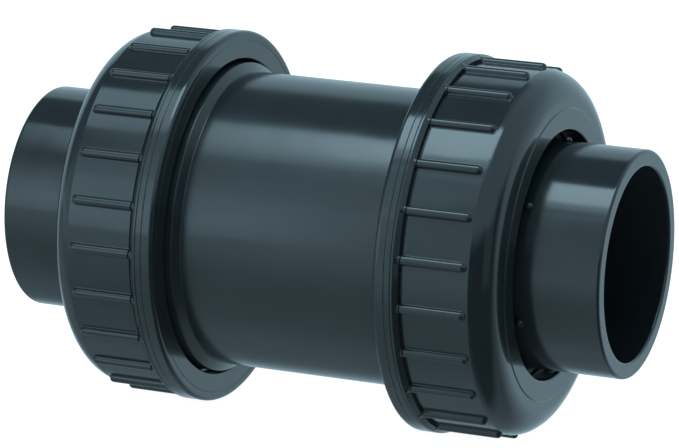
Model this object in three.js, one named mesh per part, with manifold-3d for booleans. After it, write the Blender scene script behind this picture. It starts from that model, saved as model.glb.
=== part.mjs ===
// Spring-loaded cone check valve with union ends, for 63 mm solvent-cement pressure pipe.
//
// Millimetres, +Z up. The origin is the valve's centre, on the flow axis. +X is the flow
// direction, so the inlet is at -X and the outlet at +X. The valve is shown closed.
import * as THREE from "three";
import { mergeVertices } from "three/addons/utils/BufferGeometryUtils.js";
import Module from "manifold-3d";

const wasm = await Module();
wasm.setup();

// ---- driving dimensions -------------------------------------------------------------
const ROUND_STEPS = 24; // facets round the large turned pieces
const SMALL_STEPS = 16; // facets round the small inner pieces
const GAP = 0.3; // clearance between pieces that touch

const PIPE_SOCKET_R = 31.6; // socket for a 63 mm pipe
const SOCKET_DEPTH = 38;
const CONNECTOR_R = 37.05;
const FLANGE_R = 49.8;
const WATERWAY_R = 26;
const VALVE_END = 104.5; // half the overall length

const BODY_END = 62;
const BODY_R = 48.8;
const COLLAR_R = 51.6;
const COLLAR_START = 36.4;
const COLLAR_END = 41;
const COLLAR_FILLET = 3.4;
const COLLAR_FILLET_X = 33;
const BODY_BORE_R = 40;
const COUNTERBORE_R = 42.5;
const SEAT_SHOULDER = -45;
const GUIDE_SHOULDER = 24;

const THREAD_PITCH = 6;
const THREAD_ROOT_R = 49.6;
const THREAD_CREST_R = 52;
const THREAD_START = 44.5;
const THREAD_SUNK = 1; // how deep a ridge's root lies in its wall
const THREAD_ROOT_WIDTH = 3.9;
const BODY_THREAD_TURNS = 2.25;
const NUT_THREAD_TURNS = 2.5;
const NUT_ROOT_R = 53;
const NUT_CREST_R = 50.3;

const NUT_OPEN_END = 38.1;
const NUT_CLOSED_END = 77.4;
const NUT_RIM_R = 62;
const NUT_RIM_END = 45;
const NUT_OPENING_R = 52.7;
const NUT_OPENING_DEPTH = 2.9;
const NUT_GRIP_START = 47.2;
const NUT_GRIP_R = 59.5;
const NUT_SHOULDER_R = 8;
const NUT_HOLE_R = 40.75;
const NUT_SEAT = 69.9; // inner shoulder that pulls the connector's flange
const RIB_COUNT = 24;
const RIB_R = 1.5;
const RIB_CENTRE_R = 59.8;
const RIB_START = 42; // inside the rim, so that each rib grows out of it
const RIB_END = 68.5;
const OUTLET_RIB_TURN = 4.5; // degrees from +Y
const INLET_RIB_TURN = 2;

const FACE_GROOVE = { inner: 44, outer: 48, depth: 3.2, wire: 1.55 };
const SEAT_GROOVE = { start: -50.4, end: -47.2, bottom: 39.4, wire: 1.3 };
const SEAT_OUTER_R = 32; // wide end of the 45 degree seat cone
const POPPET_SEAL_WIRE = 1.75;
const POPPET_SEAL_R = 27.62;
const POPPET_SEAL_X = -46.92;
const POPPET_FACE = -45;
const POPPET_EDGE = -41;
const POPPET_BACK = -36.5;
const POPPET_R = 33;
const POPPET_CONE_R = 16; // where the cone behind the disc meets the stem's shoulder
const BOSS = { end: -50, r: 10 }; // on the disc's face, held by the retainer
const RETAINER = { lip: -51, noseR: 25.3, noseLength: 7, lipBack: -49.1, lipR: 27.2, neckR: 25.5 };
const STEM_SOCKET = { floor: -42.5, r: 5.3 };

const STEM_R = 7;
const STEM_GROOVE = { start: 38, end: 39.6, r: 6 };
const STEM_END = 42;
const CLIP = { r: 10, thickness: 1.2, halfOpening: 35 };
const SPRING_COIL_R = 11;
const SPRING_WIRE_R = 1;
const SPRING_TURNS = 6.5;
const WASHER_THICKNESS = 1;
const FRONT_WASHER = { inner: 7.4, outer: 13 };
const REAR_WASHER = { inner: 7.6, outer: 12.6 };
const BUSH_FLANGE = { r: 12, thickness: 1 };
const HUB_START = 13.9;
const HUB_END = 36;
const HUB_R = 13;
const HUB_BORE_R = 9.8;
const ARM = { count: 4, width: 4, turn: 45 };
const RIM_START = 24.3;
const RIM_END = 34;
const RIM_INNER_R = 38;
const LOCK_RING = { end: 42, inner: 34 };
const SLOT = { width: 6, height: 6, count: 4 }; // for the spanner that screws the rings in

const COLOURS = {
  housing: 0x3d4a50,
  union: 0x364248,
  connector: 0x36424a,
  inner: 0x4a565c,
  elastomer: 0x141515,
  steel: 0xb4b8ba,
  bush: 0xe4e2d8,
};

// ---- shape helpers --------------------------------------------------------------------

// A turned piece about X. The outline is a list of [x, radius] that closes on itself, or
// starts and ends on the axis, and runs so that its faces point out.
function turned(outline, steps = ROUND_STEPS) {
  const points = outline.map(([x, r]) => new THREE.Vector2(r, x));
  const onAxis = outline[0][1] === 0;
  if (!onAxis) points.push(points[0].clone());
  return new THREE.LatheGeometry(points, steps).rotateZ(-Math.PI / 2);
}

// Points of a quarter-like arc in an outline, angles in degrees from the +X direction.
function arc(x, r, radius, from, to, steps) {
  return Array.from({ length: steps + 1 }, (_, i) => {
    const a = THREE.MathUtils.degToRad(from + ((to - from) * i) / steps);
    return [x + radius * Math.cos(a), r + radius * Math.sin(a)];
  });
}

function toSolid(geometry) {
  const plain = geometry.clone();
  plain.deleteAttribute("normal");
  plain.deleteAttribute("uv");
  const merged = mergeVertices(plain, 1e-4);
  return new wasm.Manifold(
    new wasm.Mesh({
      numProp: 3,
      vertProperties: merged.attributes.position.array,
      triVerts: new Uint32Array(merged.index.array),
    }),
  );
}

function toGeometry(solid) {
  const mesh = solid.getMesh();
  const geometry = new THREE.BufferGeometry();
  geometry.setAttribute("position", new THREE.BufferAttribute(mesh.vertProperties, 3));
  geometry.setIndex(new THREE.BufferAttribute(mesh.triVerts, 1));
  geometry.computeVertexNormals();
  return geometry;
}

function joined(base, additions) {
  return toGeometry(additions.reduce((s, g) => s.add(toSolid(g)), toSolid(base)));
}

function cut(base, tools) {
  return toGeometry(tools.reduce((s, g) => s.subtract(toSolid(g)), toSolid(base)));
}

// A box centred on a radius, turned about X by an angle in degrees from +Y.
function radialBox(x0, x1, r0, r1, width, degrees) {
  return new THREE.BoxGeometry(x1 - x0, r1 - r0, width)
    .translate((x0 + x1) / 2, (r0 + r1) / 2, 0)
    .rotateX(THREE.MathUtils.degToRad(degrees));
}

// A right-hand thread ridge: a trapezoid section extruded straight, then wound about X. Its
// middle is at x = start where the angle is zero, measured from +Y towards +Z. Its corners lie
// over the middles of the wall's facets, and its root is sunk in the wall.
function threadRidge({ start, from, turns, rootR, crestR, rootWidth, crestWidth }) {
  const section = new THREE.Shape([
    new THREE.Vector2(rootR, -rootWidth / 2),
    new THREE.Vector2(crestR, -crestWidth / 2),
    new THREE.Vector2(crestR, crestWidth / 2),
    new THREE.Vector2(rootR, rootWidth / 2),
  ]);
  const first = from + 0.5 / ROUND_STEPS;
  const straight = new THREE.ExtrudeGeometry(section, {
    depth: turns,
    steps: Math.round(turns * ROUND_STEPS),
    bevelEnabled: false,
  });
  const position = straight.attributes.position;
  for (let i = 0; i < position.count; i++) {
    const turn = first + position.getZ(i);
    const r = position.getX(i);
    const x = start - position.getY(i) + turn * THREAD_PITCH; // the minus keeps its faces outward
    position.setXYZ(i, x, r * Math.cos(turn * 2 * Math.PI), r * Math.sin(turn * 2 * Math.PI));
  }
  return straight;
}

function ring(x, radius, wire, steps = ROUND_STEPS) {
  return new THREE.TorusGeometry(radius, wire, 6, steps).rotateY(Math.PI / 2).translate(x, 0, 0);
}

class Helix extends THREE.Curve {
  constructor(start, end, radius, turns) {
    super();
    Object.assign(this, { start, end, radius, turns });
  }
  getPoint(t, target = new THREE.Vector3()) {
    const a = t * this.turns * 2 * Math.PI;
    const x = this.start + (this.end - this.start) * t;
    return target.set(x, this.radius * Math.cos(a), this.radius * Math.sin(a));
  }
}

// ---- outer pieces ---------------------------------------------------------------------

function valveBody() {
  const bodyHalf = [
    ...arc(COLLAR_FILLET_X, BODY_R + COLLAR_FILLET, COLLAR_FILLET, 270, 345, 3),
    [COLLAR_START, COLLAR_R],
    [COLLAR_END, COLLAR_R],
    [COLLAR_END + 0.6, THREAD_ROOT_R],
    [BODY_END - 1, THREAD_ROOT_R],
    [BODY_END, THREAD_ROOT_R - 1],
  ];
  const mirrored = bodyHalf.map(([x, r]) => [-x, r]).reverse();
  const shell = turned([
    ...mirrored,
    ...bodyHalf,
    [BODY_END, COUNTERBORE_R],
    [GUIDE_SHOULDER, COUNTERBORE_R],
    [GUIDE_SHOULDER, BODY_BORE_R],
    [SEAT_SHOULDER, BODY_BORE_R],
    [SEAT_SHOULDER, COUNTERBORE_R],
    [-BODY_END, COUNTERBORE_R],
  ]);
  const ridge = threadRidge({
    start: THREAD_START,
    from: 0,
    turns: BODY_THREAD_TURNS,
    rootR: THREAD_ROOT_R - THREAD_SUNK,
    crestR: THREAD_CREST_R,
    rootWidth: THREAD_ROOT_WIDTH,
    crestWidth: 2,
  });
  return joined(shell, [ridge, ridge.clone().rotateZ(Math.PI)]);
}

// The outlet nut. The inlet nut is the same shape turned half a turn about Z.
function unionNut(ribTurn) {
  const shell = turned([
    [NUT_OPEN_END, NUT_OPENING_R],
    [NUT_OPEN_END, NUT_RIM_R - 2],
    [NUT_OPEN_END + 0.6, NUT_RIM_R - 0.6],
    [NUT_OPEN_END + 2, NUT_RIM_R],
    [NUT_RIM_END, NUT_RIM_R],
    [NUT_RIM_END + 1.1, NUT_RIM_R - 0.7],
    [NUT_GRIP_START, NUT_GRIP_R],
    ...arc(
      NUT_CLOSED_END - NUT_SHOULDER_R,
      NUT_GRIP_R - NUT_SHOULDER_R,
      NUT_SHOULDER_R,
      90,
      0,
      4,
    ),
    [NUT_CLOSED_END, NUT_HOLE_R + 0.6],
    [NUT_CLOSED_END - 0.6, NUT_HOLE_R],
    [NUT_SEAT, NUT_HOLE_R],
    [NUT_SEAT, NUT_ROOT_R],
    [NUT_OPEN_END + NUT_OPENING_DEPTH + 0.4, NUT_ROOT_R],
    [NUT_OPEN_END + NUT_OPENING_DEPTH, NUT_OPENING_R],
  ]);
  const thread = threadRidge({
    start: THREAD_START + THREAD_PITCH / 2,
    from: -0.5,
    turns: NUT_THREAD_TURNS,
    rootR: NUT_ROOT_R + THREAD_SUNK,
    crestR: NUT_CREST_R,
    rootWidth: THREAD_ROOT_WIDTH,
    crestWidth: 1.8,
  });
  const ribLength = RIB_END - RIB_START - 2 * RIB_R;
  const ribs = Array.from({ length: RIB_COUNT }, (_, i) =>
    new THREE.CapsuleGeometry(RIB_R, ribLength, 2, 6)
      .rotateZ(Math.PI / 2)
      .translate(RIB_END - RIB_R - ribLength / 2, RIB_CENTRE_R, 0)
      .rotateX(THREE.MathUtils.degToRad(ribTurn + (360 / RIB_COUNT) * i)),
  );
  return joined(shell, [thread, ...ribs]);
}

// The outlet connector. The inlet connector is the same shape turned half a turn about Z.
function endConnector() {
  const face = BODY_END + GAP;
  const flangeBack = NUT_SEAT - 0.4;
  const socketFloor = VALVE_END - SOCKET_DEPTH;
  const neckFillet = 1.5;
  return turned([
    [face, WATERWAY_R],
    [face, FACE_GROOVE.inner],
    [face + FACE_GROOVE.depth, FACE_GROOVE.inner],
    [face + FACE_GROOVE.depth, FACE_GROOVE.outer],
    [face, FACE_GROOVE.outer],
    [face, FLANGE_R - 0.5],
    [face + 0.5, FLANGE_R],
    [flangeBack, FLANGE_R],
    [flangeBack, CONNECTOR_R + neckFillet],
    [flangeBack + neckFillet, CONNECTOR_R],
    [VALVE_END - 1, CONNECTOR_R],
    [VALVE_END, CONNECTOR_R - 1],
    [VALVE_END, PIPE_SOCKET_R + 0.8],
    [VALVE_END - 0.8, PIPE_SOCKET_R],
    [socketFloor, PIPE_SOCKET_R],
    [socketFloor, WATERWAY_R],
  ]);
}

function faceRing() {
  const { inner, outer, depth, wire } = FACE_GROOVE;
  return ring(BODY_END + GAP + depth - wire - 0.15, (inner + outer) / 2, wire);
}

// ---- seat -----------------------------------------------------------------------------

// Slots round an end face that a two-pin spanner fits.
function spannerSlots(x0, x1, radius) {
  const inner = radius - SLOT.height / 2;
  const outer = radius + SLOT.height / 2;
  return Array.from({ length: SLOT.count }, (_, i) =>
    radialBox(x0, x1, inner, outer, SLOT.width, (360 / SLOT.count) * i),
  );
}

function seatCarrier() {
  const front = -BODY_END + GAP;
  const back = SEAT_SHOULDER - GAP;
  const outer = COUNTERBORE_R - GAP;
  const coneLength = SEAT_OUTER_R - WATERWAY_R;
  const carrier = turned([
    [front, WATERWAY_R],
    [front, outer - 0.5],
    [front + 0.5, outer],
    [SEAT_GROOVE.start, outer],
    [SEAT_GROOVE.start, SEAT_GROOVE.bottom],
    [SEAT_GROOVE.end, SEAT_GROOVE.bottom],
    [SEAT_GROOVE.end, outer],
    [back, outer],
    [back, SEAT_OUTER_R],
    [back - coneLength, WATERWAY_R],
  ]);
  return cut(carrier, spannerSlots(front - 1, front + 5, 34));
}

function seatCarrierRing() {
  const { start, end, bottom, wire } = SEAT_GROOVE;
  return ring((start + end) / 2, bottom + wire + 0.15, wire);
}

// ---- poppet ---------------------------------------------------------------------------

// Streamlined nose that clamps the seal ring on the head, with a socket for the head's boss.
function sealRetainer() {
  const { lip, noseR, noseLength, lipBack, lipR, neckR } = RETAINER;
  const dome = [0, 18, 36, 54, 72, 90].map((degrees) => {
    const a = THREE.MathUtils.degToRad(degrees);
    return [lip - noseLength * Math.cos(a), noseR * Math.sin(a)];
  });
  return turned([
    ...dome,
    [lipBack, lipR],
    [lipBack, neckR],
    [POPPET_FACE - GAP, neckR],
    [POPPET_FACE - GAP, BOSS.r + GAP],
    [BOSS.end - GAP, BOSS.r + GAP],
    [BOSS.end - GAP, 0],
  ]);
}

function poppetHead() {
  return turned([
    [BOSS.end, 0],
    [BOSS.end, BOSS.r],
    [POPPET_FACE, BOSS.r],
    [POPPET_FACE, POPPET_R - 1.2],
    [POPPET_FACE + 1.2, POPPET_R],
    [POPPET_EDGE, POPPET_R],
    [POPPET_BACK, POPPET_CONE_R],
    [POPPET_BACK, STEM_SOCKET.r],
    [STEM_SOCKET.floor, STEM_SOCKET.r],
    [STEM_SOCKET.floor, 0],
  ]);
}

function poppetStem() {
  const spigotR = STEM_SOCKET.r - GAP;
  return turned(
    [
      [STEM_SOCKET.floor + GAP, 0],
      [STEM_SOCKET.floor + GAP, spigotR],
      [POPPET_BACK + GAP, spigotR],
      [POPPET_BACK + GAP, STEM_R],
      [STEM_GROOVE.start, STEM_R],
      [STEM_GROOVE.start, STEM_GROOVE.r],
      [STEM_GROOVE.end, STEM_GROOVE.r],
      [STEM_GROOVE.end, STEM_R],
      [STEM_END - 1, STEM_R],
      [STEM_END, STEM_R - 1],
      [STEM_END, 0],
    ],
    SMALL_STEPS,
  );
}

// Open snap ring in the stem's groove, flat and square to the axis.
function stemClip() {
  const inner = STEM_GROOVE.r + GAP;
  const open = THREE.MathUtils.degToRad(CLIP.halfOpening);
  const middle = (STEM_GROOVE.start + STEM_GROOVE.end) / 2;
  const shape = new THREE.Shape();
  shape.absarc(0, 0, CLIP.r, open, 2 * Math.PI - open, false);
  shape.absarc(0, 0, inner, 2 * Math.PI - open, open, true);
  const options = { depth: CLIP.thickness, bevelEnabled: false, curveSegments: 8 };
  return new THREE.ExtrudeGeometry(shape, options)
    .rotateY(Math.PI / 2)
    .translate(middle - CLIP.thickness / 2, 0, 0);
}

// ---- spring and guide -------------------------------------------------------------------

function washer(x, { inner, outer }) {
  const back = x + WASHER_THICKNESS;
  return turned(
    [
      [x, inner],
      [x, outer],
      [back, outer],
      [back, inner],
    ],
    SMALL_STEPS,
  );
}

const FRONT_WASHER_X = POPPET_BACK + GAP;
const REAR_WASHER_X = HUB_START - GAP - WASHER_THICKNESS;

function returnSpring() {
  const start = FRONT_WASHER_X + WASHER_THICKNESS + GAP + SPRING_WIRE_R;
  const end = REAR_WASHER_X - GAP - SPRING_WIRE_R;
  const section = new THREE.Shape();
  section.absarc(0, 0, SPRING_WIRE_R, 0, 2 * Math.PI, false);
  return new THREE.ExtrudeGeometry(section, {
    steps: SPRING_TURNS * 12,
    curveSegments: 3,
    bevelEnabled: false,
    extrudePath: new Helix(start, end, SPRING_COIL_R, SPRING_TURNS),
  });
}

function guideBush() {
  const inner = STEM_R + GAP;
  const outer = HUB_BORE_R - GAP;
  const flange = HUB_END + GAP;
  return turned(
    [
      [HUB_START + GAP, inner],
      [HUB_START + GAP, outer],
      [flange, outer],
      [flange, BUSH_FLANGE.r],
      [flange + BUSH_FLANGE.thickness, BUSH_FLANGE.r],
      [flange + BUSH_FLANGE.thickness, inner],
    ],
    SMALL_STEPS,
  );
}

function guideSpider() {
  const hub = turned(
    [
      [HUB_START, HUB_BORE_R],
      [HUB_START, HUB_R - 1],
      [HUB_START + 1, HUB_R],
      [HUB_END - 1, HUB_R],
      [HUB_END, HUB_R - 1],
      [HUB_END, HUB_BORE_R],
    ],
    SMALL_STEPS,
  );
  const rim = turned([
    [RIM_START, RIM_INNER_R],
    [RIM_START, COUNTERBORE_R - GAP],
    [RIM_END, COUNTERBORE_R - GAP],
    [RIM_END, RIM_INNER_R],
  ]);
  const arms = Array.from({ length: ARM.count }, (_, i) => {
    const turn = ARM.turn + (360 / ARM.count) * i;
    return radialBox(RIM_START, RIM_END - 1, HUB_R - 1, RIM_INNER_R + 1, ARM.width, turn);
  });
  return joined(rim, [...arms, hub]);
}

function lockRing() {
  const start = RIM_END + GAP;
  const outer = COUNTERBORE_R - GAP;
  const body = turned([
    [start, LOCK_RING.inner],
    [start, outer],
    [LOCK_RING.end - 0.5, outer],
    [LOCK_RING.end, outer - 0.5],
    [LOCK_RING.end, LOCK_RING.inner],
  ]);
  return cut(body, spannerSlots(LOCK_RING.end - 4, LOCK_RING.end + 1, LOCK_RING.inner + 2));
}

// ---- assembly ---------------------------------------------------------------------------

function piece(name, geometry, color, roughness = 0.45, metalness = 0) {
  const mesh = new THREE.Mesh(
    geometry,
    new THREE.MeshStandardMaterial({ color, roughness, metalness }),
  );
  mesh.name = name;
  return mesh;
}

// One end of the valve: nut, connector and face seal, built for the outlet side.
function unionEnd(side, ribTurn) {
  const end = new THREE.Group();
  end.add(
    piece(`${side}_union_nut`, unionNut(ribTurn), COLOURS.union, 0.3),
    piece(`${side}_end_connector`, endConnector(), COLOURS.connector, 0.25),
    piece(`${side}_face_o_ring`, faceRing(), COLOURS.elastomer, 0.8),
  );
  return end;
}

const valve = new THREE.Group();
valve.add(piece("valve_body", valveBody(), COLOURS.housing, 0.4));

valve.add(unionEnd("outlet", OUTLET_RIB_TURN));
const inletEnd = unionEnd("inlet", INLET_RIB_TURN);
inletEnd.rotation.z = Math.PI;
valve.add(inletEnd);

valve.add(
  piece("seat_carrier", seatCarrier(), COLOURS.inner),
  piece("seat_carrier_o_ring", seatCarrierRing(), COLOURS.elastomer, 0.8),
  piece("seal_retainer", sealRetainer(), COLOURS.inner),
  piece("poppet_seal", ring(POPPET_SEAL_X, POPPET_SEAL_R, POPPET_SEAL_WIRE), COLOURS.elastomer, 0.8),
  piece("poppet_head", poppetHead(), COLOURS.inner),
  piece("poppet_stem", poppetStem(), COLOURS.inner),
  piece("stem_clip", stemClip(), COLOURS.steel, 0.3, 1),
  piece("front_spring_washer", washer(FRONT_WASHER_X, FRONT_WASHER), COLOURS.steel, 0.3, 1),
  piece("return_spring", returnSpring(), COLOURS.steel, 0.25, 1),
  piece("rear_spring_washer", washer(REAR_WASHER_X, REAR_WASHER), COLOURS.steel, 0.3, 1),
  piece("guide_bush", guideBush(), COLOURS.bush, 0.5),
  piece("guide_spider", guideSpider(), COLOURS.inner),
  piece("spider_retaining_ring", lockRing(), COLOURS.inner),
);

export default valve;
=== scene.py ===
"""A union-end cone check valve for 63 mm plastic pressure pipe, on a pale studio floor.

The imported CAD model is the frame. Every CAD node has one fine mesh that replaces it, in the
same place and size. Threads and pips are pieces of their own that stand on those meshes.
Lengths are millimetres up to make_object, and metres in the materials and the studio. An
outline is a list of (x, r, fillet): a place along the flow axis, a radius and a rounding.
"""

import math

import bpy
import numpy as np
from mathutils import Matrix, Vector


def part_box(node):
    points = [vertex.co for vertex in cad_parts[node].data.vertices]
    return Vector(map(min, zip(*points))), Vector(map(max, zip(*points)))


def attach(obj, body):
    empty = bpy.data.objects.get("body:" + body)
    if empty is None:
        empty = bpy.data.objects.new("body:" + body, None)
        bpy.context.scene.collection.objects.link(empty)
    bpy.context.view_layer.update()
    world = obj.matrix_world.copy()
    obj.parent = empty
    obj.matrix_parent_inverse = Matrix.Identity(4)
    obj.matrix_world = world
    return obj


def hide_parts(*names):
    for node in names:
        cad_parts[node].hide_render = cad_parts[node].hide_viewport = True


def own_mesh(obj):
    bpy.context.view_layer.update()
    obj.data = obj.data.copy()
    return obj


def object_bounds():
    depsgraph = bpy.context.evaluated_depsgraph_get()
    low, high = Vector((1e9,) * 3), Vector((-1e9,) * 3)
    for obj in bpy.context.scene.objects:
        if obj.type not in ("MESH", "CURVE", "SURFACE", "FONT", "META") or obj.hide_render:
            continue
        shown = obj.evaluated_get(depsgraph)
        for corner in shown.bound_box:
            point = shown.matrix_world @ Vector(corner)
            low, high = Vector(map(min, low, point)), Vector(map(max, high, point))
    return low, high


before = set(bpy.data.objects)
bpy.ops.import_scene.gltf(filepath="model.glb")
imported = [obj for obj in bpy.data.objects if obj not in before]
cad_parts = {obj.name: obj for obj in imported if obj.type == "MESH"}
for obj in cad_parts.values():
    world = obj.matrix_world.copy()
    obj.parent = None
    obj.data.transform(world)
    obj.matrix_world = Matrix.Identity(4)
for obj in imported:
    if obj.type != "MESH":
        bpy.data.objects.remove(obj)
CAD_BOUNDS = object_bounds()

MM = 0.001
TURN = 2 * math.pi
SIDES = (("outlet", 1), ("inlet", -1))

# ---- fineness of the meshes -------------------------------------------------------------

ROUND = 192  # steps round the outer pieces
SMALL = 96  # steps round the inner pieces
ARC_STEPS = 4  # steps in a rounding of the outer pieces
SMALL_ARC_STEPS = 3  # steps in a rounding of the inner pieces
SMALL_FILLET = 0.15  # a rounding up to this radius has two steps
THREAD_STEPS = 64  # steps in one turn of a thread
COIL_STEPS = 40  # steps in one coil of the spring
WIRE_STEPS = 12  # steps round the spring's wire
SHOULDER_STEPS = 13  # steps in the nut's round shoulder


# ---- the valve's dimensions, in millimetres ---------------------------------------------

VALVE_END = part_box("outlet_end_connector")[1].x / MM
CONNECTOR_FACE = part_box("outlet_end_connector")[0].x / MM
SOCKET_DEPTH = 38
SOCKET_R = 31.6
CONNECTOR_R = 37.05
FLANGE_R = 49.8
FLANGE_BACK = 69.5
WATERWAY_R = 26
SEAL_GROOVE_FLOOR = 65.5
SEAL_GROOVE_INNER_R = 44
SEAL_GROOVE_OUTER_R = 48
FACE_SEAL_X = 63.8
FACE_SEAL_R = 46
FACE_SEAL_WIRE_R = 1.55

BODY_END = 62
BODY_R = 48.8
COLLAR_FOOT = 34.3
COLLAR_START = 36.2
COLLAR_R = 51.6
COLLAR_END = 41
COLLAR_STEP = 0.6  # from the collar's end to the thread's root, along the axis
BORE_R = 40
COUNTERBORE_R = 42.5
SEAT_SHOULDER = -45
GUIDE_SHOULDER = 24
INSERT_R = 42.2  # outside of the rings in the counterbores

PITCH = 6
THREAD_START = 44.5
THREAD_FOOT_WIDTH = 3.6
THREAD_FOOT_DEPTH = 1  # how deep a thread's foot lies in its wall
THREAD_ROOT_R = 49.6
THREAD_CREST_R = 52
BODY_CREST_WIDTH = 2
BODY_THREAD_TURNS = 2.25
NUT_ROOT_R = 53
NUT_CREST_R = 50.3
NUT_CREST_WIDTH = 1.8
NUT_THREAD_TURNS = 2.5
FADE_STEPS = 8  # steps over which a thread rises from its wall
FADE_DEPTH = 0.05  # how deep its crest lies in the wall where it starts

NUT_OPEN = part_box("outlet_union_nut")[0].x / MM
NUT_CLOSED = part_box("outlet_union_nut")[1].x / MM
RIM_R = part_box("outlet_union_nut")[1].z / MM
RIM_END = 45
RIM_BACK_X, RIM_BACK_R = 46.4, 60.7  # where the rim's sloping back meets the groove
OPENING_R = 52.7
LINE_HALF_WIDTH = 0.15  # of the fine lines in the rim and in the open face
FACE_LINE_R = 58.9
FACE_LINE_DEPTH = 0.15
RIM_LINES = (42.05, 44.15)
RIM_LINE_DEPTH = 0.16
GROOVE_START = 46.6  # the narrow groove between the rim and the grip
GROOVE_END = 47.1
GROOVE_R = 58.9
GRIP_START = 47.3
GRIP_R = 59.5
GRIP_ROWS = (  # rows of vertices along the grip, close together at the ribs' noses
    48.5, 52, 56, 60, 64, 66.4, 66.9, 67.3, 67.7, 68.0, 68.25, 68.42, 68.55, 68.75,
)
SHOULDER_START = 69.3
SHOULDER_LEAN = 12  # degrees that the shoulder turns inwards at its first edge
LIP_R = 47.5
LIP_HEIGHT = 0.3  # of the flat ring round the hole
HOLE_R = 40.75
NUT_SEAT = 69.9
OPENING_DEPTH = 40.8
NUT_BORE_START = 41.1
RIB_COUNT = 24
RIB_PITCH = TURN / RIB_COUNT  # radians
RIB_R = 1.5
RIB_CENTRE_R = 59.8
RIB_START = 45
RIB_END = 68.5
RIB_FILLET = 0.2
RIB_COLUMNS = (  # columns of vertices beside a rib's middle, close together at its flank
    0.45, 0.85, 1.13, 1.31, 1.41, 1.46, 1.5, 1.62, 1.9, 2.7, 4.6,
)
RIB_TURN = {"outlet": 4.5, "inlet": 2}  # degrees from +Y, in the outlet's own frame
PIP_COUNT = 6
PIP_TURN = 80
PIP_X = 77.5
PIP_R = 1.25
PIP_HEIGHT = 1.4
PIP_ROUNDING = 1.0  # height of the rounded part
PIP_STRETCH = 1.3  # length along the axis to width


# ---- outlines and meshes ----------------------------------------------------------------

SOFT_EDGE = 0.25  # width of the soft edges on pieces that are joined or cut
SHARP_ANGLE = 40  # an edge sharper than this many degrees is softened
EDGE_SHARE = 0.45  # a rounding takes up to this share of each edge beside it


def support(radius, flat):
    """How far off a rounding its supporting point lies, on a flat of that length."""
    return min(0.35, 0.5 * radius + 0.05, 0.4 * flat)


def rounded(corners, steps=ARC_STEPS, closed=True):
    """The outline through corners (x, r, fillet), with each corner rounded, and a point close
    on each side of a rounding so that smooth shading stays flat on the flats. An outline that
    isn't closed keeps its first and last corners sharp."""
    points = []
    count = len(corners)
    for i, (x, r, fillet) in enumerate(corners):
        here = np.array((x, r), float)
        if fillet == 0 or not closed and i in (0, count - 1):
            points.append(here)
            continue
        before = np.array(corners[i - 1][:2], float) - here
        after = np.array(corners[(i + 1) % count][:2], float) - here
        to_before, to_after = np.linalg.norm(before), np.linalg.norm(after)
        before, after = before / to_before, after / to_after
        half = math.acos(max(-1, min(1, float(before @ after)))) / 2
        reach = min(fillet / math.tan(half), EDGE_SHARE * to_before, EDGE_SHARE * to_after)
        radius = reach * math.tan(half)
        middle = before + after
        centre = here + middle / np.linalg.norm(middle) * radius / math.sin(half)
        start, end = here + before * reach, here + after * reach
        points.append(start + before * support(radius, to_before - reach))
        a = math.atan2(*(start - centre)[::-1])
        sweep = math.atan2(*(end - centre)[::-1]) - a
        sweep = (sweep + math.pi) % TURN - math.pi
        parts = steps if fillet > SMALL_FILLET else 2
        for k in range(parts + 1):
            angle = a + sweep * k / parts
            points.append(centre + radius * np.array((math.cos(angle), math.sin(angle))))
        points.append(end + after * support(radius, to_after - reach))
    return np.array(points)


def make_object(name, vertices, faces, smooth=True):
    """A mesh object from vertices in millimetres."""
    mesh = bpy.data.meshes.new(name)
    mesh.from_pydata([tuple(v) for v in np.asarray(vertices) * MM], [], faces)
    mesh.validate()
    mesh.polygons.foreach_set("use_smooth", [smooth] * len(mesh.polygons))
    mesh.update()
    piece = bpy.data.objects.new(name, mesh)
    bpy.context.scene.collection.objects.link(piece)
    return piece


def grid_faces(rows, columns, wrap_rows=False):
    """Quads of a grid of vertices numbered row by row. Each row is a closed ring."""
    faces = []
    for i in range(rows if wrap_rows else rows - 1):
        low, high = i * columns, (i + 1) % rows * columns
        for k in range(columns):
            m = (k + 1) % columns
            faces.append((low + k, high + k, high + m, low + m))
    return faces


def face_out(piece):
    """Turns the mesh's faces so that its volume is positive."""
    mesh = piece.data
    mesh.calc_loop_triangles()
    count = len(mesh.loop_triangles)
    corners = np.empty(count * 3, np.int32)
    mesh.loop_triangles.foreach_get("vertices", corners)
    places = np.empty(len(mesh.vertices) * 3)
    mesh.vertices.foreach_get("co", places)
    a, b, c = places.reshape(-1, 3)[corners].reshape(count, 3, 3).transpose(1, 0, 2)
    if np.einsum("ij,ij->", a, np.cross(b, c)) < 0:
        mesh.flip_normals()
    return piece


def end_caps(rows, columns):
    """The two end faces of a tube whose rings are the grid's rows."""
    last = (rows - 1) * columns
    return [tuple(range(columns)), tuple(last + k for k in reversed(range(columns)))]


def lathe(name, outline, steps=ROUND, side=1, height=None, angles=None):
    """A closed outline of (x, r) turned about X. side is -1 for the inlet end, which is the
    outlet end turned half a turn about Z. height(x, r, angle) may lift the surface."""
    if angles is None:
        angles = np.arange(steps) * TURN / steps
    x = np.repeat(outline[:, :1], len(angles), 1)
    r = np.repeat(outline[:, 1:], len(angles), 1)
    if height is not None:
        r = height(x, r, angles[None, :])
    vertices = np.stack((side * x, side * r * np.cos(angles), r * np.sin(angles)), -1)
    faces = grid_faces(len(outline), len(angles), wrap_rows=True)
    return face_out(make_object(name, vertices.reshape(-1, 3), faces))


def plain_ring(name, x0, x1, inner, outer, inner_fillets, outer_fillets):
    """A ring of rectangular section. Its fillets are given for x0 and for x1."""
    corners = [
        (x0, inner, inner_fillets[0]),
        (x0, outer, outer_fillets[0]),
        (x1, outer, outer_fillets[1]),
        (x1, inner, inner_fillets[1]),
    ]
    return lathe(name, rounded(corners, SMALL_ARC_STEPS), SMALL)


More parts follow.
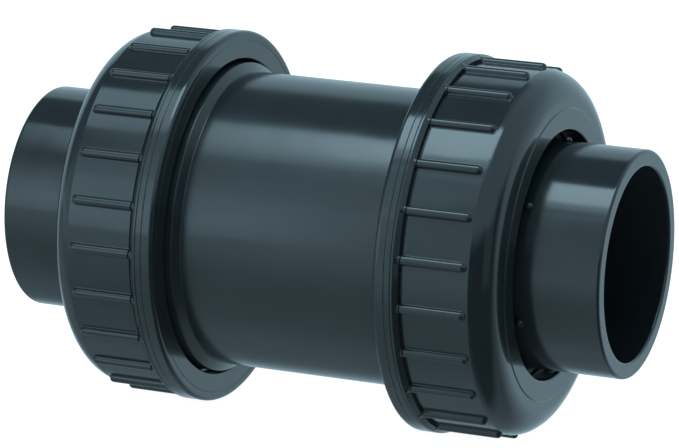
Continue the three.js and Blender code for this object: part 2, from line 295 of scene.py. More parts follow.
def solid_lathe(name, outline):
    """An open outline that starts and ends on the axis, turned about X."""
    inner = outline[1:-1]
    angles = np.arange(SMALL) * TURN / SMALL
    x = np.repeat(inner[:, :1], SMALL, 1)
    r = np.repeat(inner[:, 1:], SMALL, 1)
    ring = np.stack((x, r * np.cos(angles), r * np.sin(angles)), -1).reshape(-1, 3)
    poles = [(outline[0][0], 0, 0), (outline[-1][0], 0, 0)]
    faces = grid_faces(len(inner), SMALL)
    first, last = len(ring), len(ring) + 1
    end_row = (len(inner) - 1) * SMALL
    for k in range(SMALL):
        m = (k + 1) % SMALL
        faces.append((first, k, m))
        faces.append((last, end_row + m, end_row + k))
    return face_out(make_object(name, np.vstack((ring, poles)), faces))


def ring_outline(x, radius, wire_r, steps=24):
    """The round section of an O-ring."""
    angles = -np.arange(steps) * TURN / steps
    return np.stack((x + wire_r * np.cos(angles), radius + wire_r * np.sin(angles)), -1)


def thread(name, start, turns, root_r, crest_r, crest_width, side, first_turn=0):
    """A right-hand thread ridge with rounded crests, fading out at both ends. It stands
    outwards or inwards, from root_r to crest_r. Its turn 0 passes start."""
    rise = 1 if crest_r > root_r else -1
    foot, crest = THREAD_FOOT_WIDTH / 2, crest_width / 2
    foot_r = root_r - THREAD_FOOT_DEPTH * rise
    section = rounded(
        [
            (-foot, foot_r, 0.1), (-foot, root_r, 0.1), (-crest, crest_r, 0.35),
            (crest, crest_r, 0.35), (foot, root_r, 0.1), (foot, foot_r, 0.1),
        ],
        2,
    )
    count = int(turns * THREAD_STEPS)
    step = np.arange(count + 1)
    t = first_turn + step / THREAD_STEPS
    fade = np.clip(np.minimum(step, count - step) / FADE_STEPS, 0, 1)
    fade = np.sin(fade * math.pi / 2)[:, None]
    r = section[None, :, 1]
    faded = root_r - FADE_DEPTH * rise + (r - root_r) * fade
    r = np.where((r - root_r) * rise > 0, faded, r)
    x = start + section[None, :, 0] + PITCH * t[:, None]
    angle = TURN * t[:, None]
    vertices = np.stack((side * x, side * r * np.cos(angle), r * np.sin(angle)), -1)
    faces = grid_faces(count + 1, len(section)) + end_caps(count + 1, len(section))
    return face_out(make_object(name, vertices.reshape(-1, 3), faces))


def box_piece(name, x0, x1, r0, r1, width, degrees, bevel=0.0):
    """A box standing on a radius, turned about X by an angle from +Y, with bevelled edges."""
    corners = [
        (x, r, w) for x in (x0, x1) for r in (r0, r1) for w in (-width / 2, width / 2)
    ]
    faces = [(0, 1, 3, 2), (4, 6, 7, 5), (0, 4, 5, 1), (2, 3, 7, 6), (0, 2, 6, 4), (1, 5, 7, 3)]
    c, s = math.cos(math.radians(degrees)), math.sin(math.radians(degrees))
    turned = [(x, r * c - w * s, r * s + w * c) for x, r, w in corners]
    piece = face_out(make_object(name, turned, faces))
    if bevel:
        modifier = piece.modifiers.new("edge", "BEVEL")
        modifier.width = bevel * MM
        modifier.segments = 3
    return piece


def settle(piece):
    """Replaces the piece's mesh by what its modifiers make of it."""
    graph = bpy.context.evaluated_depsgraph_get()
    made = bpy.data.meshes.new_from_object(piece.evaluated_get(graph))
    piece.modifiers.clear()
    piece.data = made
    return piece


def combine(piece, others, operation):
    """Joins others to the piece or cuts them from it, and softens the edges that result."""
    for other in others:
        modifier = piece.modifiers.new("shape", "BOOLEAN")
        modifier.operation = operation
        modifier.solver = "EXACT"
        modifier.object = other
    settle(piece)
    for other in others:
        bpy.data.objects.remove(other)
    piece.data.polygons.foreach_set("use_smooth", [True] * len(piece.data.polygons))
    smooth = piece.modifiers.new("soft_edges", "BEVEL")
    smooth.width = SOFT_EDGE * MM
    smooth.segments = 2
    smooth.limit_method = "ANGLE"
    smooth.angle_limit = math.radians(SHARP_ANGLE)
    smooth.harden_normals = True
    settle(piece)


# ---- materials --------------------------------------------------------------------------

NOISE_LOW, NOISE_HIGH = 0.3, 0.7  # most of a noise texture's values lie between these
MOTTLE = 0.14  # share by which the pigment is darker and lighter in places
SINK_MARKS = 1.2e-4  # relief of the slow waves in a moulded surface, in metres


class Nodes:
    """Short ways to make the nodes of one material."""

    def __init__(self, name):
        self.material = bpy.data.materials.new(name)
        self.material.use_nodes = True
        self.tree = self.material.node_tree
        self.shader = self.tree.nodes["Principled BSDF"]
        self.place = self.tree.nodes.new("ShaderNodeTexCoord").outputs["Object"]

    def link(self, output, socket):
        self.tree.links.new(output, socket)

    def stretched(self, x, y, z):
        node = self.tree.nodes.new("ShaderNodeMapping")
        node.inputs["Scale"].default_value = (x, y, z)
        self.link(self.place, node.inputs["Vector"])
        return node.outputs["Vector"]

    def noise(self, scale, detail, roughness=0.5, place=None):
        node = self.tree.nodes.new("ShaderNodeTexNoise")
        node.inputs["Scale"].default_value = scale
        node.inputs["Detail"].default_value = detail
        node.inputs["Roughness"].default_value = roughness
        self.link(self.place if place is None else place, node.inputs["Vector"])
        return node.outputs["Fac"]

    def range(self, value, low, high):
        node = self.tree.nodes.new("ShaderNodeMapRange")
        node.inputs["From Min"].default_value = NOISE_LOW
        node.inputs["From Max"].default_value = NOISE_HIGH
        node.inputs["To Min"].default_value = low
        node.inputs["To Max"].default_value = high
        self.link(value, node.inputs["Value"])
        return node.outputs["Result"]

    def colours(self, value, low, high):
        node = self.tree.nodes.new("ShaderNodeValToRGB")
        node.color_ramp.elements[0].position = NOISE_LOW
        node.color_ramp.elements[1].position = NOISE_HIGH
        node.color_ramp.elements[0].color = (*low, 1)
        node.color_ramp.elements[1].color = (*high, 1)
        self.link(value, node.inputs["Fac"])
        return node.outputs["Color"]

    def bump(self, height, depth, normal=None):
        """depth is the height of the relief in metres."""
        node = self.tree.nodes.new("ShaderNodeBump")
        node.inputs["Strength"].default_value = 1.0
        node.inputs["Distance"].default_value = depth
        self.link(height, node.inputs["Height"])
        if normal is not None:
            self.link(normal, node.inputs["Normal"])
        return node.outputs["Normal"]

    def set(self, socket, value):
        self.shader.inputs[socket].default_value = value


def plastic(name, colour, roughness, grain, rings=0.0):
    """Moulded PVC: mottled pigment, handling smudges in the gloss, slight sink marks, a fine
    grain and, where rings is set, faint rings round the axis. Reliefs are in metres."""
    n = Nodes(name)
    dark = tuple((1 - MOTTLE) * c for c in colour)
    light = tuple((1 + MOTTLE) * c for c in colour)
    mottle = n.noise(scale=70, detail=5.0, roughness=0.62)
    n.link(n.colours(mottle, dark, light), n.shader.inputs["Base Color"])
    smudge = n.noise(scale=38, detail=6.0, roughness=0.6)
    n.link(n.range(smudge, roughness - 0.035, roughness + 0.05), n.shader.inputs["Roughness"])
    relief = n.bump(n.noise(scale=55, detail=1.0), SINK_MARKS)
    relief = n.bump(n.noise(scale=1900, detail=2.0), grain, relief)
    if rings:
        turned = n.noise(scale=1.0, detail=2.0, roughness=0.6, place=n.stretched(1400, 30, 30))
        relief = n.bump(turned, rings, relief)
    n.link(relief, n.shader.inputs["Normal"])
    n.set("IOR", 1.53)
    return n.material


def rubber(name):
    """Black elastomer with a fine grain."""
    n = Nodes(name)
    tone = n.noise(scale=400, detail=4.0)
    n.link(n.colours(tone, (0.008, 0.008, 0.008), (0.018, 0.018, 0.019)),
           n.shader.inputs["Base Color"])
    n.link(n.range(n.noise(scale=120, detail=4.0), 0.42, 0.6), n.shader.inputs["Roughness"])
    n.link(n.bump(n.noise(scale=2600, detail=2.0), 2e-5), n.shader.inputs["Normal"])
    return n.material


def steel(name):
    """Drawn stainless steel, with fine marks round the axis."""
    n = Nodes(name)
    tone = n.noise(scale=150, detail=4.0)
    n.link(n.colours(tone, (0.50, 0.51, 0.52), (0.64, 0.65, 0.66)),
           n.shader.inputs["Base Color"])
    drawn = n.noise(scale=1.0, detail=3.0, roughness=0.6, place=n.stretched(2500, 200, 200))
    n.link(n.range(drawn, 0.2, 0.36), n.shader.inputs["Roughness"])
    n.link(n.bump(drawn, 8e-6), n.shader.inputs["Normal"])
    n.set("Metallic", 1.0)
    return n.material


def bush_plastic(name):
    """The off-white plastic of the slide bush."""
    n = Nodes(name)
    tone = n.noise(scale=260, detail=4.0)
    n.link(n.colours(tone, (0.66, 0.64, 0.57), (0.76, 0.75, 0.69)),
           n.shader.inputs["Base Color"])
    n.link(n.range(n.noise(scale=90, detail=3.0), 0.4, 0.55), n.shader.inputs["Roughness"])
    n.link(n.bump(n.noise(scale=1500, detail=2.0), 1e-5), n.shader.inputs["Normal"])
    return n.material


PVC = (0.0088, 0.0128, 0.0148)
INNER_PVC = (0.05, 0.06, 0.068)
FINISH = {
    "pvc_housing": plastic("housing_pvc", PVC, roughness=0.19, grain=6e-6, rings=3e-6),
    "pvc_nut": plastic("nut_pvc", PVC, roughness=0.12, grain=3e-6),
    "pvc_connector": plastic("connector_pvc", PVC, roughness=0.15, grain=3e-6),
    "pvc_inner": plastic("inner_pvc", INNER_PVC, roughness=0.38, grain=1.2e-5, rings=6e-6),
    "epdm": rubber("epdm_rubber"),
    "stainless": steel("stainless_wire"),
    "ptfe": bush_plastic("slide_bush"),
}


def fit(piece, body, node, slot):
    """The piece rides on a body and takes a slot's finish. It replaces the CAD node, or
    none where the node is None."""
    piece.data.materials.clear()
    piece.data.materials.append(FINISH[slot])
    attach(piece, body)
    if node:
        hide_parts(node)


# ---- outer pieces -----------------------------------------------------------------------

def valve_body():
    """The plain tube, with a raised collar and a thread towards each end."""
    half = [
        (COLLAR_FOOT, BODY_R, 0.3),
        (COLLAR_START, COLLAR_R, 0.4),
        (COLLAR_END, COLLAR_R, 0.5),
        (COLLAR_END + COLLAR_STEP, THREAD_ROOT_R, 0.3),
        (BODY_END, THREAD_ROOT_R, 1.0),
    ]
    inlet = [(-x, r, f) for x, r, f in reversed(half)]
    corners = [
        *inlet,
        *half,
        (BODY_END, COUNTERBORE_R, 0.4),
        (GUIDE_SHOULDER, COUNTERBORE_R, 0.3),
        (GUIDE_SHOULDER, BORE_R, 0.4),
        (SEAT_SHOULDER, BORE_R, 0.4),
        (SEAT_SHOULDER, COUNTERBORE_R, 0.3),
        (-BODY_END, COUNTERBORE_R, 0.4),
    ]
    fit(lathe("body_shell", rounded(corners)), "housing", "valve_body", "pvc_housing")
    for side, sign in SIDES:
        ridge = thread(
            f"{side}_body_thread", THREAD_START, BODY_THREAD_TURNS, THREAD_ROOT_R,
            THREAD_CREST_R, BODY_CREST_WIDTH, sign,
        )
        fit(ridge, "housing", None, "pvc_housing")


def smooth_maximum(a, b, width):
    """The larger of a and b, rounded where they differ by less than width."""
    overlap = np.maximum(width - np.abs(a - b), 0) / width
    return np.maximum(a, b) + overlap**2 * width / 4


def rib_lift(turn):
    """The nut's outer surface raised by its half-round ribs, which end in a round nose."""

    def lifted(x, r, angle):
        off = (angle - turn + RIB_PITCH / 2) % RIB_PITCH - RIB_PITCH / 2
        across = off * GRIP_R
        along = np.maximum(x - (RIB_END - RIB_R), 0)
        square = RIB_R**2 - across**2 - along**2  # of the rib's height over its centre
        rib = RIB_CENTRE_R + np.sqrt(np.maximum(square, 0))
        outside = (x > RIB_START) & (r > GRIP_R - 0.5)
        return np.where(outside & (square > 0), smooth_maximum(r, rib, RIB_FILLET), r)

    return lifted


def rib_angles(turn):
    """Columns round the nut, close together at the flanks of each rib."""
    half = np.array(RIB_COLUMNS)
    offsets = np.concatenate((-half[::-1], [0], half)) / GRIP_R
    centres = turn + RIB_PITCH * np.arange(RIB_COUNT)
    columns = centres[:, None] + np.append(offsets, RIB_PITCH / 2)[None, :]
    return columns.ravel()


def nut_outline():
    """Round the nut's section: the open face, the rim, the grip, the shoulder, the flat ring
    at the hole, and back along the bore."""
    face = NUT_CLOSED - LIP_HEIGHT
    lean = math.radians(SHOULDER_LEAN)
    shoulder_r = (face - SHOULDER_START) / (1 - math.sin(lean))
    shoulder = [
        (
            face - shoulder_r * (1 - math.sin(a)),
            GRIP_R - shoulder_r * (math.cos(lean) - math.cos(a)),
            0,
        )
        for a in np.linspace(lean, math.pi / 2, SHOULDER_STEPS + 1)[1:]
    ]
    rim_lines = [
        corner
        for x in RIM_LINES
        for corner in (
            (x - LINE_HALF_WIDTH, RIM_R, 0.1),
            (x, RIM_R - RIM_LINE_DEPTH, 0.05),
            (x + LINE_HALF_WIDTH, RIM_R, 0.1),
        )
    ]
    return rounded([
        (NUT_OPEN, OPENING_R, 0.5),
        (NUT_OPEN, FACE_LINE_R - LINE_HALF_WIDTH, 0.05),
        (NUT_OPEN + FACE_LINE_DEPTH, FACE_LINE_R, 0.05),
        (NUT_OPEN, FACE_LINE_R + LINE_HALF_WIDTH, 0.05),
        (NUT_OPEN, RIM_R, 1.8),
        *rim_lines,
        (RIM_END, RIM_R, 0.4),
        (RIM_BACK_X, RIM_BACK_R, 0.3),
        (GROOVE_START, GROOVE_R, 0.15),
        (GROOVE_END, GROOVE_R, 0.15),
        (GRIP_START, GRIP_R, 0.1),
        *((x, GRIP_R, 0) for x in GRIP_ROWS),
        (SHOULDER_START, GRIP_R, 0.12),
        *shoulder,
        (face, LIP_R + LIP_HEIGHT, 0.12),
        (NUT_CLOSED, LIP_R, 0.12),
        (NUT_CLOSED, HOLE_R, 0.5),
        (NUT_SEAT, HOLE_R, 0.4),
        (NUT_SEAT, NUT_ROOT_R, 0.6),
        (NUT_BORE_START, NUT_ROOT_R, 0.3),
        (OPENING_DEPTH, OPENING_R, 0.2),
    ])


def union_nut(side, sign):
    """A ribbed nut whose closed end holds the connector's flange, and its inner thread."""
    turn = math.radians(RIB_TURN[side])
    nut = lathe(
        f"{side}_nut", nut_outline(), side=sign, height=rib_lift(turn), angles=rib_angles(turn)
    )
    fit(nut, f"{side}_nut", f"{side}_union_nut", "pvc_nut")
    ridge = thread(
        f"{side}_nut_thread", THREAD_START + PITCH / 2, NUT_THREAD_TURNS, NUT_ROOT_R,
        NUT_CREST_R, NUT_CREST_WIDTH, sign, first_turn=-0.5,
    )
    fit(ridge, f"{side}_nut", None, "pvc_nut")


def end_connector(side, sign):
    """A flange with a groove for its seal, a neck with pips, and a socket for the pipe."""
    socket_floor = VALVE_END - SOCKET_DEPTH
    corners = [
        (CONNECTOR_FACE, WATERWAY_R, 0.5),
        (CONNECTOR_FACE, SEAL_GROOVE_INNER_R, 0.2),
        (SEAL_GROOVE_FLOOR, SEAL_GROOVE_INNER_R, 0.3),
        (SEAL_GROOVE_FLOOR, SEAL_GROOVE_OUTER_R, 0.3),
        (CONNECTOR_FACE, SEAL_GROOVE_OUTER_R, 0.2),
        (CONNECTOR_FACE, FLANGE_R, 0.5),
        (FLANGE_BACK, FLANGE_R, 0.5),
        (FLANGE_BACK, CONNECTOR_R, 1.5),
        (VALVE_END, CONNECTOR_R, 0.9),
        (VALVE_END, SOCKET_R, 0.8),
        (socket_floor, SOCKET_R, 0.4),
        (socket_floor, WATERWAY_R, 0.5),
    ]
    piece = lathe(f"{side}_connector", rounded(corners), side=sign)
    fit(piece, f"{side}_end", f"{side}_end_connector", "pvc_connector")
    for k in range(PIP_COUNT):
        angle = math.radians(PIP_TURN + 360 / PIP_COUNT * k)
        fit(pip(f"{side}_pip_{k + 1}", angle, sign), f"{side}_end", None, "pvc_connector")


def pip(name, angle, sign):
    """A small rounded pip on the neck that keeps the loose nut centred. Its foot lies in the
    neck."""
    rows, steps, foot_slope = 8, 20, -0.5
    slopes = np.linspace(foot_slope, math.pi / 2, rows + 1)
    middle = CONNECTOR_R + PIP_HEIGHT - PIP_ROUNDING
    c, s = math.cos(angle), math.sin(angle)
    vertices = []
    for slope in slopes[:-1]:
        r, radius = middle + PIP_ROUNDING * math.sin(slope), PIP_R * math.cos(slope)
        for k in range(steps):
            a = TURN * k / steps
            x, across = PIP_X + radius * math.cos(a) * PIP_STRETCH, radius * math.sin(a)
            vertices.append((sign * x, sign * (r * c - across * s), r * s + across * c))
    top = CONNECTOR_R + PIP_HEIGHT
    vertices.append((sign * PIP_X, sign * top * c, top * s))
    faces = grid_faces(rows, steps)
    faces.append(tuple(range(steps)))
    last = (rows - 1) * steps
    faces += [(last + k, last + (k + 1) % steps, len(vertices) - 1) for k in range(steps)]
    return face_out(make_object(name, vertices, faces))


def face_seal(side, sign):
    section = ring_outline(FACE_SEAL_X, FACE_SEAL_R, FACE_SEAL_WIRE_R)
    piece = lathe(f"{side}_face_seal", section, side=sign)
    fit(piece, f"{side}_end", f"{side}_face_o_ring", "epdm")


# ---- seat and poppet --------------------------------------------------------------------

SLOT = 6  # width of a spanner slot, and its length across the ring


def spanner_slots(x0, x1, radius):
    """Cutters for four spanner slots in a ring's face."""
    return [
        box_piece(f"slot_{turn}", x0, x1, radius - SLOT / 2, radius + SLOT / 2, SLOT, turn)
        for turn in (0, 90, 180, 270)
    ]


def seat_carrier():
    """The ring with the cone that the poppet closes on, and its own seal."""
    front, back = -61.7, -45.3
    groove_start, groove_end, groove_r = -50.4, -47.2, 39.4
    cone_start, cone_r = -51.3, 32
    corners = [
        (front, WATERWAY_R, 1.2),
        (front, INSERT_R, 0.6),
        (groove_start, INSERT_R, 0.2),
        (groove_start, groove_r, 0.3),
        (groove_end, groove_r, 0.3),
        (groove_end, INSERT_R, 0.2),
        (back, INSERT_R, 0.3),
        (back, cone_r, 0.4),
        (cone_start, WATERWAY_R, 0.8),
    ]
    piece = lathe("seat_ring", rounded(corners, SMALL_ARC_STEPS), SMALL)
    combine(piece, spanner_slots(front - 1, front + 5, 34), "DIFFERENCE")
    fit(piece, "housing", "seat_carrier", "pvc_inner")
    section = ring_outline((groove_start + groove_end) / 2, 40.85, 1.3, 16)
    seal = lathe("seat_ring_seal", section, SMALL)
    fit(seal, "housing", "seat_carrier_o_ring", "epdm")


def poppet():
    """The nose, the seal it clamps, the disc and the stem."""
    lip, nose_r, nose_height = -51, 25.3, 7
    dome = [
        (lip - nose_height * math.cos(a), nose_r * math.sin(a))
        for a in np.linspace(0, math.pi / 2, 17)
    ]
    clamp = rounded(
        [
            (lip, nose_r, 0), (-49.1, 27.2, 0.3), (-49.1, 25.5, 0.3), (-45.3, 25.5, 0.2),
            (-45.3, 10.3, 0.3), (-50.3, 10.3, 0.3), (-50.3, 0, 0),
        ],
        SMALL_ARC_STEPS, closed=False,
    )
    nose = solid_lathe("poppet_nose", np.vstack((dome, clamp[1:])))
    fit(nose, "poppet", "seal_retainer", "pvc_inner")
    seal = lathe("seal_ring", ring_outline(-46.92, 27.62, 1.75), SMALL)
    fit(seal, "poppet", "poppet_seal", "epdm")
    head = rounded(
        [
            (-50, 0, 0), (-50, 10, 0.5), (-45, 10, 0.3), (-45, 33, 1.0), (-41, 33, 1.5),
            (-36.5, 16, 4), (-36.5, 5.3, 0.4), (-42.5, 5.3, 0.3), (-42.5, 0, 0),
        ],
        SMALL_ARC_STEPS, closed=False,
    )
    fit(solid_lathe("poppet_disc", head), "poppet", "poppet_head", "pvc_inner")
    stem = rounded(
        [
            (-42.2, 0, 0), (-42.2, 5, 0.5), (-36.2, 5, 0.2), (-36.2, 7, 0.3), (38, 7, 0.2),
            (38, 6, 0.2), (39.6, 6, 0.2), (39.6, 7, 0.2), (42, 7, 1.0), (42, 0, 0),
        ],
        SMALL_ARC_STEPS, closed=False,
    )
    fit(solid_lathe("guide_stem", stem), "poppet", "poppet_stem", "pvc_inner")


def stem_clip():
    """An open snap ring in the stem's groove, open at the bottom."""
    x0, x1 = 38.2, 39.4
    inner, outer, half_gap = 6.3, 10.0, math.radians(35)
    angles = np.linspace(half_gap, TURN - half_gap, 48)
    section = rounded(
        [(x0, inner, 0.15), (x0, outer, 0.2), (x1, outer, 0.2), (x1, inner, 0.15)], 2
    )
    r = np.repeat(section[None, :, 1], len(angles), 0)
    x = np.repeat(section[None, :, 0], len(angles), 0)
    turned = angles[:, None] - math.pi / 2
    vertices = np.stack((x, r * np.cos(turned), r * np.sin(turned)), -1).reshape(-1, 3)
    faces = grid_faces(len(angles), len(section)) + end_caps(len(angles), len(section))
    piece = face_out(make_object("snap_ring", vertices, faces))
    fit(piece, "poppet", "stem_clip", "stainless")


# ---- spring and guide -------------------------------------------------------------------

FRONT_PLATE_X = -36.2
REAR_PLATE_X = 12.6


def washer(name, x, inner, outer, body, node):
    """A flat ring 1 mm thick."""
    ring = plain_ring(name, x, x + 1, inner, outer, (0.2, 0.2), (0.2, 0.2))
    fit(ring, body, node, "stainless")


def return_spring():
    """A wire helix whose end coils lie close, as on a closed-end spring."""
    start, end, wire_r, coil_r, turns = -34.9, 12.3, 1.0, 11.0, 7.5
    closed_turns, closed_pitch = 0.75, 0.096  # pitch as a share of the open coils' pitch
    t = np.linspace(0, turns, int(turns * COIL_STEPS) + 1)
    rate = np.clip(np.minimum(t, turns - t) - closed_turns, closed_pitch, 1.0)
    travel = np.concatenate(([0], np.cumsum((rate[1:] + rate[:-1]) / 2)))
    x = start + wire_r + (end - start - 2 * wire_r) * travel / travel[-1]
    section = np.arange(WIRE_STEPS) * TURN / WIRE_STEPS
    r = coil_r + wire_r * np.cos(section)[None, :]
    across = wire_r * np.sin(section)[None, :]
    angle = TURN * t[:, None]
    vertices = np.stack((x[:, None] + across, r * np.cos(angle), r * np.sin(angle)), -1)
    faces = grid_faces(len(t), WIRE_STEPS) + end_caps(len(t), WIRE_STEPS)
    spring = face_out(make_object("coil_spring", vertices.reshape(-1, 3), faces))
    fit(spring, "housing", "return_spring", "stainless")
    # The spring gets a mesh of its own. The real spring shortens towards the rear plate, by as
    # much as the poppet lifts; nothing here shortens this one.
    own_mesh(spring)


def guide():
    """The four-armed wheel and the bush that hold the stem, and the ring that locks them."""
    hub = plain_ring("hub", 13.9, 36, 9.8, 13, (0.4, 0.4), (0.9, 0.9))
    rim = plain_ring("guide_wheel", 24.3, 34, 38, INSERT_R, (0.8, 0.8), (0.4, 0.4))
    arms = [
        settle(box_piece(f"arm_{k}", 24.6, 33, 11.5, 39, 4, 45 + 90 * k, bevel=1.2))
        for k in range(4)
    ]
    combine(rim, [hub, *arms], "UNION")
    fit(rim, "housing", "guide_spider", "pvc_inner")
    bush = rounded(
        [
            (14.2, 7.3, 0.3), (14.2, 9.5, 0.3), (36.3, 9.5, 0.15), (36.3, 12, 0.2),
            (37.3, 12, 0.3), (37.3, 7.3, 0.3),
        ],
        SMALL_ARC_STEPS,
    )
    fit(lathe("slide_bush_ring", bush, SMALL), "housing", "guide_bush", "ptfe")
    lock = plain_ring("lock_ring", 34.3, 42, 34, INSERT_R, (0.4, 0.8), (0.4, 0.6))
    combine(lock, spanner_slots(38, 43, 36), "DIFFERENCE")
    fit(lock, "housing", "spider_retaining_ring", "pvc_inner")


# ---- studio -----------------------------------------------------------------------------

CAMERA_AZIMUTH = 23.24  # degrees from -Y towards +X
CAMERA_ELEVATION = 16.15
CAMERA_DISTANCE = 1.348  # metres
CAMERA_LENS = 217.0  # millimetres, as is the sensor's width
CAMERA_SENSOR = 36
AIM = Vector((0.0004, 0.0007, 0.0015))
FLOOR_HALF = 9000  # millimetres


def camera():
    """The photo's camera: a long lens from the front right, a little above the valve."""
    azimuth, elevation = math.radians(CAMERA_AZIMUTH), math.radians(CAMERA_ELEVATION)
    toward = Vector((
        math.sin(azimuth) * math.cos(elevation),
        -math.cos(azimuth) * math.cos(elevation),
        math.sin(elevation),
    ))
    data = bpy.data.cameras.new("studio_camera")
    data.lens = CAMERA_LENS
    data.sensor_width = CAMERA_SENSOR
    eye = bpy.data.objects.new("studio_camera", data)
    eye.location = AIM + toward * CAMERA_DISTANCE
    eye.rotation_euler = toward.to_track_quat("Z", "Y").to_euler()
    bpy.context.scene.collection.objects.link(eye)
    bpy.context.scene.camera = eye


def floor():
    """A pale matt floor under the valve. Its own glow makes it white, with hardly a shadow,
    and the valve's gloss doesn't reflect it."""
    low = CAD_BOUNDS[0][2] / MM
    corners = [
        (sx * FLOOR_HALF, sy * FLOOR_HALF, low)
        for sx, sy in ((-1, -1), (1, -1), (1, 1), (-1, 1))
    ]
    plane = make_object("studio_floor", corners, [(0, 1, 2, 3)], smooth=False)
    n = Nodes("pale_floor")
    tone = n.noise(scale=2.5, detail=2.0)
    n.link(n.colours(tone, (0.30, 0.27, 0.24), (0.34, 0.31, 0.28)),
           n.shader.inputs["Base Color"])
    n.set("Roughness", 0.9)
    n.set("Specular IOR Level", 0.1)
    n.set("Emission Color", (1, 1, 1, 1))
    n.set("Emission Strength", 0.97)
    plane.data.materials.append(n.material)
    plane.visible_glossy = False


# The room round the valve as brightness by angle in degrees: 0 is the horizon in front, 90
# overhead, 180 and -180 the horizon behind, and -90 straight down. It is bright along both
# horizons, half as bright below, and dim overhead and high behind.
STUDIO = [
    (-180, 0.95), (-155, 0.95), (-138, 0.68), (-124, 0.38), (-105, 0.45), (-88, 0.64),
    (-62, 0.62), (-40, 0.62), (-24, 0.78), (-8, 1.15), (0, 1.1), (8, 1.0), (20, 1.0),
    (45, 0.8), (60, 0.5), (75, 0.4), (95, 0.3), (137, 0.2), (142, 1.0), (180, 1.0),
]
STUDIO_TINT = (0.59, 0.865, 1.0)

# In front, the room grows dark towards the right, which leaves the open bore black. High on
# the right it has one even level. The limits are of a direction's X, forward and Z parts.
RIGHT_LIMITS = (-0.15, 0.22)
FRONT_LIMITS = (-0.3, 0.0)
UPPER_LIMITS = (0.2, 0.45)
FRONT_RIGHT_LEVEL = 0.03
UPPER_RIGHT_LEVEL = 0.9


def studio_light():
    """The world: STUDIO's curve by angle, with its right side changed."""
    world = bpy.data.worlds.new("studio")
    world.use_nodes = True
    bpy.context.scene.world = world
    tree = world.node_tree
    background = tree.nodes["Background"]
    direction = tree.nodes.new("ShaderNodeTexCoord").outputs["Generated"]
    split = tree.nodes.new("ShaderNodeSeparateXYZ")
    tree.links.new(direction, split.inputs["Vector"])

    def math_node(operation, a, b=None, value=None):
        node = tree.nodes.new("ShaderNodeMath")
        node.operation = operation
        tree.links.new(a, node.inputs[0])
        if b is not None:
            tree.links.new(b, node.inputs[1])
        if value is not None:
            node.inputs[1].default_value = value
        return node.outputs["Value"]

    front = math_node("MULTIPLY", split.outputs["Y"], value=-1)
    angle = math_node("ARCTAN2", split.outputs["Z"], front)
    place = math_node("MULTIPLY", angle, value=1 / TURN)
    place = math_node("ADD", place, value=0.5)  # 0 to 1 from -180 to 180 degrees
    ramp = tree.nodes.new("ShaderNodeFloatCurve")
    curve = ramp.mapping.curves[0]
    peak = max(level for _, level in STUDIO)
    points = [((degrees + 180) / 360, level / peak) for degrees, level in STUDIO]
    for _ in range(len(points) - 2):
        curve.points.new(0.5, 0.5)
    for point, (x, y) in zip(curve.points, points):
        point.location = (x, y)
        point.handle_type = "VECTOR"
    ramp.mapping.update()
    tree.links.new(place, ramp.inputs["Value"])
    level = math_node("MULTIPLY", ramp.outputs["Value"], value=peak)

    def smooth_step(value, low, high):
        node = tree.nodes.new("ShaderNodeMapRange")
        node.interpolation_type = "SMOOTHSTEP"
        node.inputs["From Min"].default_value = low
        node.inputs["From Max"].default_value = high
        tree.links.new(value, node.inputs["Value"])
        return node.outputs["Result"]

    def blend(share, level, other):
        """The level, and the other in its place as far as share says."""
        node = tree.nodes.new("ShaderNodeMix")
        node.data_type = "FLOAT"
        tree.links.new(share, node.inputs["Factor"])
        tree.links.new(level, node.inputs["A"])
        node.inputs["B"].default_value = other
        return node.outputs["Result"]

    to_right = smooth_step(split.outputs["X"], *RIGHT_LIMITS)
    in_front = smooth_step(front, *FRONT_LIMITS)
    level = blend(math_node("MULTIPLY", to_right, in_front), level, FRONT_RIGHT_LEVEL)
    upper = smooth_step(split.outputs["Z"], *UPPER_LIMITS)
    level = blend(math_node("MULTIPLY", to_right, upper), level, UPPER_RIGHT_LEVEL)
    background.inputs["Color"].default_value = (*STUDIO_TINT, 1)
    tree.links.new(level, background.inputs["Strength"])


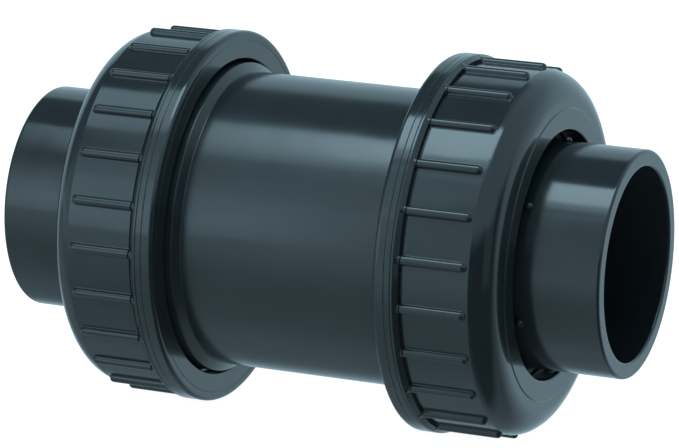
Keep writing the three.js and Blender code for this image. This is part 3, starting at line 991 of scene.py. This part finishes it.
def panel(name, centre, toward, width, height, level):
    """A soft panel of even brightness that faces a point, its width level. Metres."""
    data = bpy.data.lights.new(name, "AREA")
    data.shape = "RECTANGLE"
    data.size = width
    data.size_y = height
    data.color = STUDIO_TINT
    data.energy = level * math.pi * width * height
    light = bpy.data.objects.new(name, data)
    light.location = centre
    light.rotation_euler = (Vector(centre) - Vector(toward)).to_track_quat("Z", "Y").to_euler()
    light.visible_camera = False
    bpy.context.scene.collection.objects.link(light)


# The panels overhead, which lie level: name, x from and to, y from and to, brightness.
OVERHEAD_Z = 0.72
OVERHEAD = (
    ("overhead", -0.285, 0.20, -0.260, 0.024, 5.7),
    ("overhead_left_1", -0.345, -0.285, -0.260, 0.024, 2.7),
    ("overhead_left_2", -0.45, -0.345, -0.260, 0.024, 2.3),
    ("overhead_edge", -0.45, 0.20, -0.370, -0.260, 2.2),
    ("overhead_rim", -0.45, 0.20, -0.520, -0.370, 0.55),
)
# The panels at the front left, which stand upright: name, z from and to, brightness.
FILL_X, FILL_Y, FILL_WIDTH = -0.405, -0.70, 0.31
FILL = (
    ("fill_high", 0.45, 1.16, 0.65),
    ("fill", 0.24, 0.45, 1.05),
    ("fill_step_3", 0.165, 0.24, 1.3),
    ("fill_step_2", 0.09, 0.165, 1.2),
    ("fill_step_1", 0.01, 0.09, 1.0),
)


def softboxes():
    """A bright panel overhead with dimmer ones on its left and in front, a column of fills at
    the front left, and a weak fill on the right."""
    for name, x0, x1, y0, y1, level in OVERHEAD:
        x, y = (x0 + x1) / 2, (y0 + y1) / 2
        panel(name, (x, y, OVERHEAD_Z), (x, y, 0), x1 - x0, y1 - y0, level)
    for name, z0, z1, level in FILL:
        z = (z0 + z1) / 2
        panel(name, (FILL_X, FILL_Y, z), (FILL_X, 0, z), FILL_WIDTH, z1 - z0, level)
    panel("right_fill", (0.80, -0.32, 0.10), (0.08, 0, 0.0), width=0.4, height=0.5, level=0.3)


# ---- everything -------------------------------------------------------------------------

camera()
floor()
studio_light()
softboxes()
bpy.context.scene.view_settings.view_transform = "Standard"

valve_body()
for side_name, side_sign in SIDES:
    union_nut(side_name, side_sign)
    end_connector(side_name, side_sign)
    face_seal(side_name, side_sign)
seat_carrier()
poppet()
stem_clip()
washer("front_plate", FRONT_PLATE_X, 7.4, 13, "poppet", "front_spring_washer")
washer("rear_plate", REAR_PLATE_X, 7.6, 12.6, "housing", "rear_spring_washer")
return_spring()
guide()
